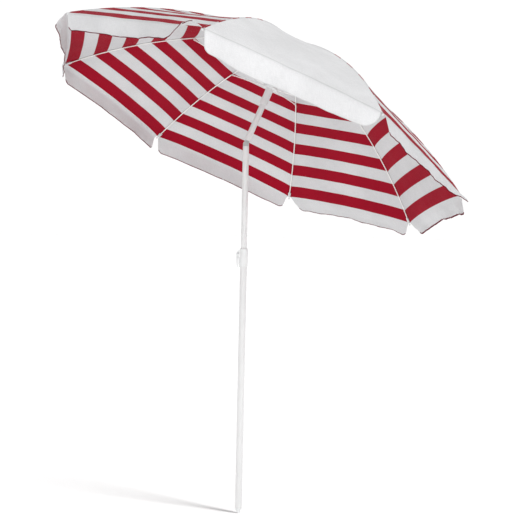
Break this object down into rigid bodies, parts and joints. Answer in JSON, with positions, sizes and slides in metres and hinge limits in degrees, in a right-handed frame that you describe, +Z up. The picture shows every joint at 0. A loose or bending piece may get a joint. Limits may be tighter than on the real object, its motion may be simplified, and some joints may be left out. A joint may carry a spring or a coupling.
{
  "type": "beach umbrella",
  "caption": "Tilting beach umbrella: clamped two-piece pole with a pointed tip, folding rib canopy in striped cloth with hanging flaps and one plain white gore.",
  "frame": {"origin": "the flat end of the ground tip, on the pole's axis", "axes": "+Z up along the pole, +X the way the canopy tilts, +Y along the tilt pin"},
  "size_m": [1.4594, 1.6124, 1.8098],
  "materials": {
    "white_coated_steel": "white powder coat, smooth, semi-gloss",
    "white_plastic": "moulded, fine satin grain",
    "bare_steel": "zinc plated, lightly brushed",
    "striped_cloth": "plain-weave polyester, crimson bands printed on white",
    "plain_cloth": "plain-weave polyester, white"
  },
  "bodies": {
    "lower_pole": {"ground_tip": "white_plastic", "lower_tube": "white_coated_steel", "clamp_collar": "white_plastic", "clamp_pin": "bare_steel"},
    "clamp_lever": {"clamp_lever": "white_plastic"},
    "upper_pole": {"upper_tube": "white_coated_steel", "upper_tube_bush": "white_plastic", "tilt_fork": "bare_steel", "tilt_pin": "bare_steel"},
    "canopy_shaft": {"tilt_tongue": "bare_steel", "shaft_tube": "white_coated_steel", "crown": "white_plastic", "crown_ring": "bare_steel", "crown_cap": "white_plastic"},
    "runner": {"runner": "white_plastic", "runner_ring": "bare_steel"},
    "rib_E": {"rib_E": "white_coated_steel", "rib_tip_E": "white_plastic", "rib_rivet_E": "bare_steel"},
    "rib_D": {"rib_D": "white_coated_steel", "rib_tip_D": "white_plastic", "rib_rivet_D": "bare_steel"},
    "rib_C": {"rib_C": "white_coated_steel", "rib_tip_C": "white_plastic", "rib_rivet_C": "bare_steel"},
    "rib_B": {"rib_B": "white_coated_steel", "rib_tip_B": "white_plastic", "rib_rivet_B": "bare_steel"},
    "rib_A": {"rib_A": "white_coated_steel", "rib_tip_A": "white_plastic", "rib_rivet_A": "bare_steel"},
    "rib_H": {"rib_H": "white_coated_steel", "rib_tip_H": "white_plastic", "rib_rivet_H": "bare_steel"},
    "rib_G": {"rib_G": "white_coated_steel", "rib_tip_G": "white_plastic", "rib_rivet_G": "bare_steel"},
    "rib_F": {"rib_F": "white_coated_steel", "rib_tip_F": "white_plastic", "rib_rivet_F": "bare_steel"},
    "stretcher_E": {"stretcher_E": "white_coated_steel"},
    "stretcher_D": {"stretcher_D": "white_coated_steel"},
    "stretcher_C": {"stretcher_C": "white_coated_steel"},
    "stretcher_B": {"stretcher_B": "white_coated_steel"},
    "stretcher_A": {"stretcher_A": "white_coated_steel"},
    "stretcher_H": {"stretcher_H": "white_coated_steel"},
    "stretcher_G": {"stretcher_G": "white_coated_steel"},
    "stretcher_F": {"stretcher_F": "white_coated_steel"},
    "gore_ED": {"gore_ED": "striped_cloth"},
    "gore_DC": {"gore_DC": "striped_cloth"},
    "gore_CB": {"gore_CB": "striped_cloth"},
    "gore_BA": {"gore_BA": "striped_cloth"},
    "gore_AH": {"gore_AH": "striped_cloth"},
    "gore_HG": {"gore_HG": "plain_cloth"},
    "gore_GF": {"gore_GF": "striped_cloth"},
    "gore_FE": {"gore_FE": "striped_cloth"}
  },
  "joints": [
    {"name": "height_slide", "type": "slide", "parent": "lower_pole", "child": "upper_pole", "axis": [0, 0, 1], "range_m": [-0.3, 0.12]},
    {"name": "clamp_lever_hinge", "type": "hinge", "parent": "lower_pole", "child": "clamp_lever", "pos_m": [-0.01766, 0.0104, 0.956], "axis": [0.5075, 0.8616, 0], "range_deg": [0, 110]},
    {"name": "canopy_tilt", "type": "hinge", "parent": "upper_pole", "child": "canopy_shaft", "pos_m": [0, 0, 1.356], "axis": [0, 1, 0], "range_deg": [-25.2, 0]},
    {"name": "rib_E_hinge", "type": "hinge", "parent": "canopy_shaft", "child": "rib_E", "pos_m": [0.19714, 0, 1.72796], "axis": [0, 1, 0], "range_deg": [0, 12], "deforming": ["gore_ED", "gore_DC", "gore_CB", "gore_BA", "gore_AH", "gore_HG", "gore_GF", "gore_FE"]},
    {"name": "rib_D_hinge", "type": "hinge", "parent": "canopy_shaft", "child": "rib_D", "pos_m": [0.19184, 0.01414, 1.73046], "axis": [-0.6398, 0.7071, 0.3011], "range_deg": [0, 12]},
    {"name": "rib_C_hinge", "type": "hinge", "parent": "canopy_shaft", "child": "rib_C", "pos_m": [0.17904, 0.02, 1.73648], "axis": [-0.9048, 0, 0.4258], "range_deg": [0, 12]},
    {"name": "rib_B_hinge", "type": "hinge", "parent": "canopy_shaft", "child": "rib_B", "pos_m": [0.16624, 0.01414, 1.7425], "axis": [-0.6398, -0.7071, 0.3011], "range_deg": [0, 12]},
    {"name": "rib_A_hinge", "type": "hinge", "parent": "canopy_shaft", "child": "rib_A", "pos_m": [0.16094, 0, 1.745], "axis": [0, -1, 0], "range_deg": [0, 12]},
    {"name": "rib_H_hinge", "type": "hinge", "parent": "canopy_shaft", "child": "rib_H", "pos_m": [0.16624, -0.01414, 1.7425], "axis": [0.6398, -0.7071, -0.3011], "range_deg": [0, 12]},
    {"name": "rib_G_hinge", "type": "hinge", "parent": "canopy_shaft", "child": "rib_G", "pos_m": [0.17904, -0.02, 1.73648], "axis": [0.9048, 0, -0.4258], "range_deg": [0, 12]},
    {"name": "rib_F_hinge", "type": "hinge", "parent": "canopy_shaft", "child": "rib_F", "pos_m": [0.19184, -0.01414, 1.73046], "axis": [0.6398, 0.7071, -0.3011], "range_deg": [0, 12]},
    {"name": "stretcher_E_hinge", "type": "hinge", "parent": "rib_E", "child": "stretcher_E", "pos_m": [0.45832, 0, 1.49431], "axis": [0, 1, 0], "range_deg": [-25.6, 0]},
    {"name": "stretcher_D_hinge", "type": "hinge", "parent": "rib_D", "child": "stretcher_D", "pos_m": [0.36403, 0.2516, 1.53869], "axis": [-0.6398, 0.7071, 0.3011], "range_deg": [-25.6, 0]},
    {"name": "stretcher_C_hinge", "type": "hinge", "parent": "rib_C", "child": "stretcher_C", "pos_m": [0.13637, 0.35581, 1.64581], "axis": [-0.9048, 0, 0.4258], "range_deg": [-25.6, 0]},
    {"name": "stretcher_B_hinge", "type": "hinge", "parent": "rib_B", "child": "stretcher_B", "pos_m": [-0.09128, 0.2516, 1.75294], "axis": [-0.6398, -0.7071, 0.3011], "range_deg": [-25.6, 0]},
    {"name": "stretcher_A_hinge", "type": "hinge", "parent": "rib_A", "child": "stretcher_A", "pos_m": [-0.18558, 0, 1.79731], "axis": [0, -1, 0], "range_deg": [-25.6, 0]},
    {"name": "stretcher_H_hinge", "type": "hinge", "parent": "rib_H", "child": "stretcher_H", "pos_m": [-0.09128, -0.2516, 1.75294], "axis": [0.6398, -0.7071, -0.3011], "range_deg": [-25.6, 0]},
    {"name": "stretcher_G_hinge", "type": "hinge", "parent": "rib_G", "child": "stretcher_G", "pos_m": [0.13637, -0.35581, 1.64581], "axis": [0.9048, 0, -0.4258], "range_deg": [-25.6, 0]},
    {"name": "stretcher_F_hinge", "type": "hinge", "parent": "rib_F", "child": "stretcher_F", "pos_m": [0.36403, -0.2516, 1.53869], "axis": [0.6398, 0.7071, -0.3011], "range_deg": [-25.6, 0]},
    {"name": "gore_ED_fold", "type": "hinge", "parent": "canopy_shaft", "child": "gore_ED", "pos_m": [0.19449, 0.00707, 1.72921], "axis": [-0.3463, 0.9239, 0.1629], "range_deg": [0, 13.5]},
    {"name": "gore_DC_fold", "type": "hinge", "parent": "canopy_shaft", "child": "gore_DC", "pos_m": [0.18544, 0.01707, 1.73347], "axis": [-0.836, 0.3827, 0.3934], "range_deg": [0, 13.5]},
    {"name": "gore_CB_fold", "type": "hinge", "parent": "canopy_shaft", "child": "gore_CB", "pos_m": [0.17264, 0.01707, 1.73949], "axis": [-0.836, -0.3827, 0.3934], "range_deg": [0, 13.5]},
    {"name": "gore_BA_fold", "type": "hinge", "parent": "canopy_shaft", "child": "gore_BA", "pos_m": [0.16359, 0.00707, 1.74375], "axis": [-0.3463, -0.9239, 0.1629], "range_deg": [0, 13.5]},
    {"name": "gore_AH_fold", "type": "hinge", "parent": "canopy_shaft", "child": "gore_AH", "pos_m": [0.16359, -0.00707, 1.74375], "axis": [0.3463, -0.9239, -0.1629], "range_deg": [0, 13.5]},
    {"name": "gore_HG_fold", "type": "hinge", "parent": "canopy_shaft", "child": "gore_HG", "pos_m": [0.17264, -0.01707, 1.73949], "axis": [0.836, -0.3827, -0.3934], "range_deg": [0, 13.5]},
    {"name": "gore_GF_fold", "type": "hinge", "parent": "canopy_shaft", "child": "gore_GF", "pos_m": [0.18544, -0.01707, 1.73347], "axis": [0.836, 0.3827, -0.3934], "range_deg": [0, 13.5]},
    {"name": "gore_FE_fold", "type": "hinge", "parent": "canopy_shaft", "child": "gore_FE", "pos_m": [0.19449, -0.00707, 1.72921], "axis": [0.3463, 0.9239, -0.1629], "range_deg": [0, 13.5]},
    {"name": "runner_slide", "type": "slide", "parent": "canopy_shaft", "child": "runner", "axis": [0.4258, 0, 0.9048], "range_m": [-0.144, 0]}
  ],
  "couplings": [
    {"joint": "rib_D_hinge", "follows": "rib_E_hinge", "ratio": 1},
    {"joint": "rib_C_hinge", "follows": "rib_E_hinge", "ratio": 1},
    {"joint": "rib_B_hinge", "follows": "rib_E_hinge", "ratio": 1},
    {"joint": "rib_A_hinge", "follows": "rib_E_hinge", "ratio": 1},
    {"joint": "rib_H_hinge", "follows": "rib_E_hinge", "ratio": 1},
    {"joint": "rib_G_hinge", "follows": "rib_E_hinge", "ratio": 1},
    {"joint": "rib_F_hinge", "follows": "rib_E_hinge", "ratio": 1},
    {"joint": "stretcher_E_hinge", "follows": "rib_E_hinge", "ratio": -2.0997},
    {"joint": "stretcher_D_hinge", "follows": "rib_E_hinge", "ratio": -2.0997},
    {"joint": "stretcher_C_hinge", "follows": "rib_E_hinge", "ratio": -2.0997},
    {"joint": "stretcher_B_hinge", "follows": "rib_E_hinge", "ratio": -2.0997},
    {"joint": "stretcher_A_hinge", "follows": "rib_E_hinge", "ratio": -2.0997},
    {"joint": "stretcher_H_hinge", "follows": "rib_E_hinge", "ratio": -2.0997},
    {"joint": "stretcher_G_hinge", "follows": "rib_E_hinge", "ratio": -2.0997},
    {"joint": "stretcher_F_hinge", "follows": "rib_E_hinge", "ratio": -2.0997},
    {"joint": "gore_ED_fold", "follows": "rib_E_hinge", "ratio": 1.025},
    {"joint": "gore_DC_fold", "follows": "rib_E_hinge", "ratio": 1.025},
    {"joint": "gore_CB_fold", "follows": "rib_E_hinge", "ratio": 1.025},
    {"joint": "gore_BA_fold", "follows": "rib_E_hinge", "ratio": 1.025},
    {"joint": "gore_AH_fold", "follows": "rib_E_hinge", "ratio": 1.025},
    {"joint": "gore_HG_fold", "follows": "rib_E_hinge", "ratio": 1.025},
    {"joint": "gore_GF_fold", "follows": "rib_E_hinge", "ratio": 1.025},
    {"joint": "gore_FE_fold", "follows": "rib_E_hinge", "ratio": 1.025},
    {"joint": "runner_slide", "follows": "rib_E_hinge", "m_per_rad": -0.68116}
  ]
}
